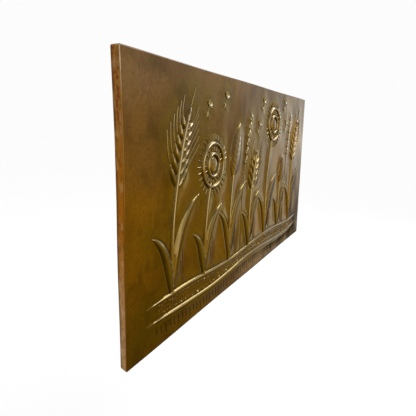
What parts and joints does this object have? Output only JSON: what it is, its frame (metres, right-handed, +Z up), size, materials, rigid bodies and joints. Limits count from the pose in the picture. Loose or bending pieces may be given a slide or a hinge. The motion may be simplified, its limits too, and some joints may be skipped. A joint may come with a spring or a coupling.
{
  "type": "embossed metal wall panel",
  "caption": "Oblong wall panel of aged brass sheet, embossed with grasses and seed heads in low relief, folded back at its edges into a shallow open-backed tray.",
  "frame": {"origin": "middle of the back face of the top lip, where the panel bears on the wall it hangs on", "axes": "+X to the right as the panel is seen on a wall, along its length; +Y into the wall; +Z up; the embossed front faces -Y"},
  "size_m": [1.2, 0.0269, 0.6],
  "materials": {
    "aged_brass": "satin aged brass, rubbed bright on the raised lines and browned in the ground"
  },
  "bodies": {
    "root": {"brass_panel": "aged_brass"}
  },
  "joints": []
}
